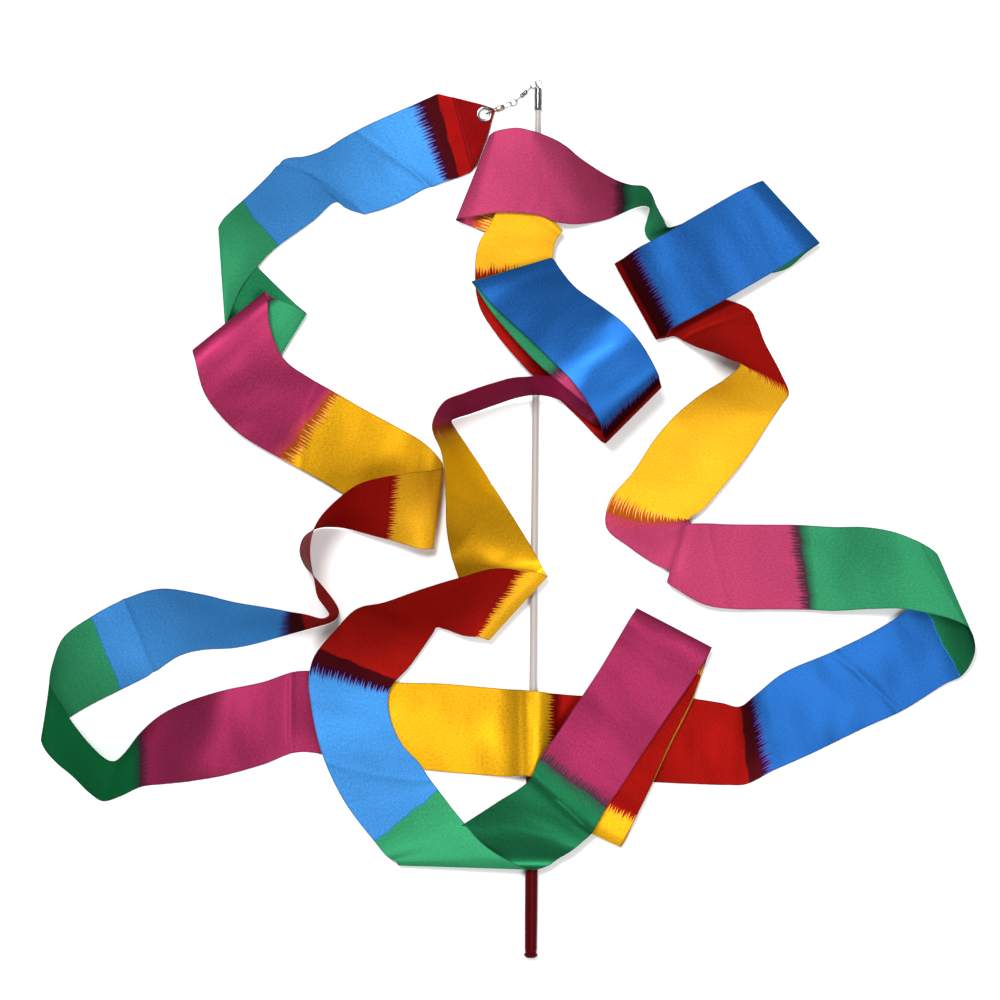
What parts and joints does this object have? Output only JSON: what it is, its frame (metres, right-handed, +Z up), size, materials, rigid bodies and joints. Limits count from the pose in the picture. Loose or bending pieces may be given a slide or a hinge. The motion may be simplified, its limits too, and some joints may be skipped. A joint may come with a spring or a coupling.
{
  "type": "rhythmic ribbon wand",
  "caption": "Gymnastics ribbon wand laid on a table: slim tapered rod with a grip, swivel and snap at the tip, and a long striped satin ribbon in loose folds.",
  "frame": {"origin": "on the table, under the middle of the whole laid-out object", "axes": "+Z up from the table, +Y along the wand from grip to tip, +X to the right seen from above"},
  "size_m": [0.5444, 0.5128, 0.0511],
  "materials": {
    "grip": "smooth maroon sleeve with a soft gloss",
    "rod": "off-white translucent fibreglass, faintly streaked lengthwise",
    "chrome": "bright plated",
    "steel_wire": "drawn wire, lightly polished",
    "swivel_steel": "darker plated steel",
    "snap_plate": "folded plated strip",
    "ribbon_red": "satin",
    "ribbon_blue": "satin",
    "ribbon_green": "satin",
    "ribbon_pink": "satin",
    "ribbon_yellow": "satin"
  },
  "bodies": {
    "wand": {"grip": "grip", "rod": "rod", "ferrule": "chrome", "tip_loop": "steel_wire"},
    "front_link": {"front_ring": "steel_wire"},
    "swivel": {"swivel_front_eye": "swivel_steel"},
    "barrel": {"swivel_barrel": "swivel_steel"},
    "swivel_rear": {"swivel_rear_eye": "swivel_steel"},
    "rear_link": {"rear_ring": "steel_wire"},
    "snap": {"snap_wire": "steel_wire", "snap_plate": "snap_plate"},
    "ribbon": {"eyelet": "chrome", "eyelet_washer": "chrome", "ribbon_point": "ribbon_red", "ribbon_band_01": "ribbon_red", "ribbon_band_02": "ribbon_blue", "ribbon_band_03": "ribbon_green", "ribbon_band_04": "ribbon_pink", "ribbon_band_05": "ribbon_yellow", "ribbon_band_06": "ribbon_red", "ribbon_band_07": "ribbon_blue", "ribbon_band_08": "ribbon_green", "ribbon_band_09": "ribbon_pink", "ribbon_band_10": "ribbon_yellow", "ribbon_band_11": "ribbon_red", "ribbon_band_12": "ribbon_blue", "ribbon_band_13": "ribbon_green", "ribbon_band_14": "ribbon_pink", "ribbon_band_15": "ribbon_yellow", "ribbon_band_16": "ribbon_red", "ribbon_band_17": "ribbon_blue", "ribbon_band_18": "ribbon_green", "ribbon_band_19": "ribbon_pink", "ribbon_band_20": "ribbon_yellow", "ribbon_band_21": "ribbon_red", "ribbon_band_22": "ribbon_blue", "ribbon_band_23": "ribbon_green", "ribbon_band_24": "ribbon_pink", "ribbon_band_25": "ribbon_yellow", "ribbon_band_26": "ribbon_red", "ribbon_band_27": "ribbon_blue", "ribbon_band_28": "ribbon_green", "ribbon_band_29": "ribbon_pink", "ribbon_band_30": "ribbon_yellow", "ribbon_band_31": "ribbon_red"}
  },
  "joints": [
    {"name": "front_link_swing", "type": "hinge", "parent": "wand", "child": "front_link", "pos_m": [0.01379, 0.25436, 0.0022], "axis": [-1, 0, 0], "range_deg": [0, 15]},
    {"name": "swivel_swing", "type": "hinge", "parent": "front_link", "child": "swivel", "pos_m": [0.01105, 0.25263, 0.0022], "axis": [-1, 0, 0], "range_deg": [0, 8]},
    {"name": "barrel_spin", "type": "hinge", "parent": "swivel", "child": "barrel", "pos_m": [0.00652, 0.24849, 0.0022], "axis": [-0.7375, -0.6753, 0], "continuous": true},
    {"name": "swivel_twist", "type": "hinge", "parent": "swivel", "child": "swivel_rear", "pos_m": [0.00652, 0.24849, 0.0022], "axis": [-0.7375, -0.6753, 0], "range_deg": [0, 40]},
    {"name": "rear_link_swing", "type": "hinge", "parent": "swivel_rear", "child": "rear_link", "pos_m": [0.002, 0.24435, 0.0022], "axis": [-1, 0, 0], "range_deg": [0, 30]},
    {"name": "snap_swing", "type": "hinge", "parent": "rear_link", "child": "snap", "pos_m": [-0.00075, 0.24262, 0.0022], "axis": [-1, 0, 0], "range_deg": [0, 30]},
    {"name": "ribbon_swing", "type": "hinge", "parent": "snap", "child": "ribbon", "pos_m": [-0.01314, 0.23766, 0.0022], "axis": [-1, 0, 0], "range_deg": [0, 8]}
  ]
}
